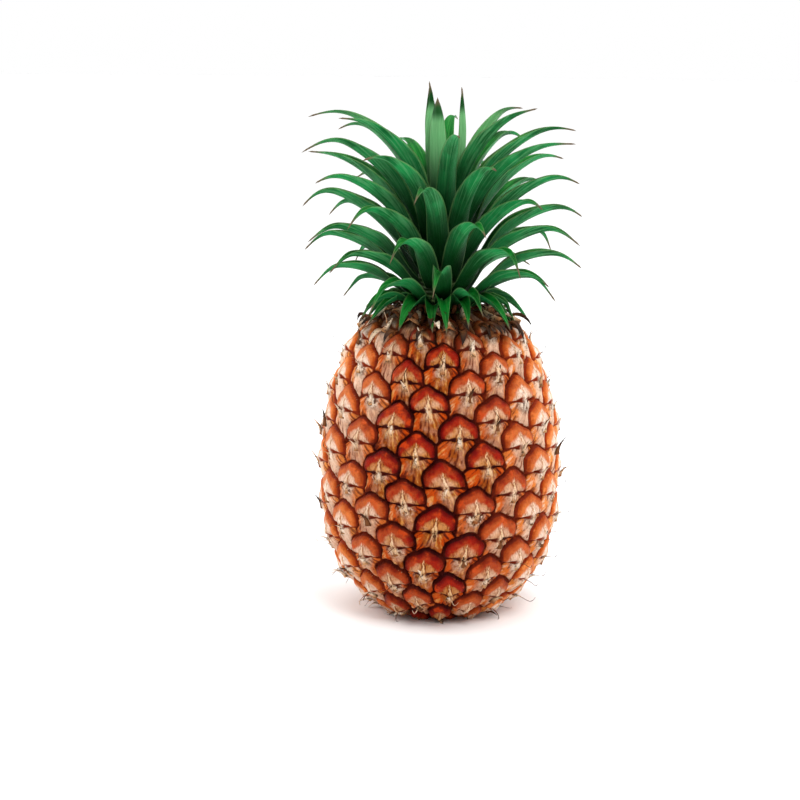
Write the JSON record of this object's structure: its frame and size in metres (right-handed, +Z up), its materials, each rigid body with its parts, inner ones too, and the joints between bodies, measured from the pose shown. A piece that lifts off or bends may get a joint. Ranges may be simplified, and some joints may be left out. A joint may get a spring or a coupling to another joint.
{
  "type": "pineapple",
  "caption": "Whole pineapple with its leafy crown, standing on a small flat spot; fresh fruit for display, shopping or kitchen scenes.",
  "frame": {"origin": "middle of the flat spot that the fruit stands on", "axes": "+Z up along the fruit's axis to the crown; +X to the right and -Y towards the viewer"},
  "size_m": [0.1388, 0.1365, 0.264],
  "materials": {
    "rind": "satin",
    "leaf": "satin",
    "crown_stem": "matte",
    "stalk": "matte"
  },
  "bodies": {
    "root": {"fruit": "rind", "cut_stalk": "stalk", "crown_stem": "crown_stem", "leaf_01": "leaf", "leaf_02": "leaf", "leaf_03": "leaf", "leaf_04": "leaf", "leaf_05": "leaf", "leaf_06": "leaf", "leaf_07": "leaf", "leaf_08": "leaf", "leaf_09": "leaf", "leaf_10": "leaf", "leaf_11": "leaf", "leaf_12": "leaf", "leaf_13": "leaf", "leaf_14": "leaf", "leaf_15": "leaf", "leaf_16": "leaf", "leaf_17": "leaf", "leaf_18": "leaf", "leaf_19": "leaf", "leaf_20": "leaf", "leaf_21": "leaf", "leaf_22": "leaf", "leaf_23": "leaf", "leaf_24": "leaf", "leaf_25": "leaf", "leaf_26": "leaf", "leaf_27": "leaf", "leaf_28": "leaf", "leaf_29": "leaf", "leaf_30": "leaf", "leaf_31": "leaf", "leaf_32": "leaf", "leaf_33": "leaf", "leaf_34": "leaf", "leaf_35": "leaf", "leaf_36": "leaf", "leaf_37": "leaf", "leaf_38": "leaf", "leaf_39": "leaf", "leaf_40": "leaf", "leaf_41": "leaf", "leaf_42": "leaf", "leaf_43": "leaf", "leaf_44": "leaf", "leaf_45": "leaf", "leaf_46": "leaf", "leaf_47": "leaf", "leaf_48": "leaf", "leaf_49": "leaf", "leaf_50": "leaf", "leaf_51": "leaf", "leaf_52": "leaf", "leaf_53": "leaf", "leaf_54": "leaf", "leaf_55": "leaf", "leaf_56": "leaf", "leaf_57": "leaf"}
  },
  "joints": []
}
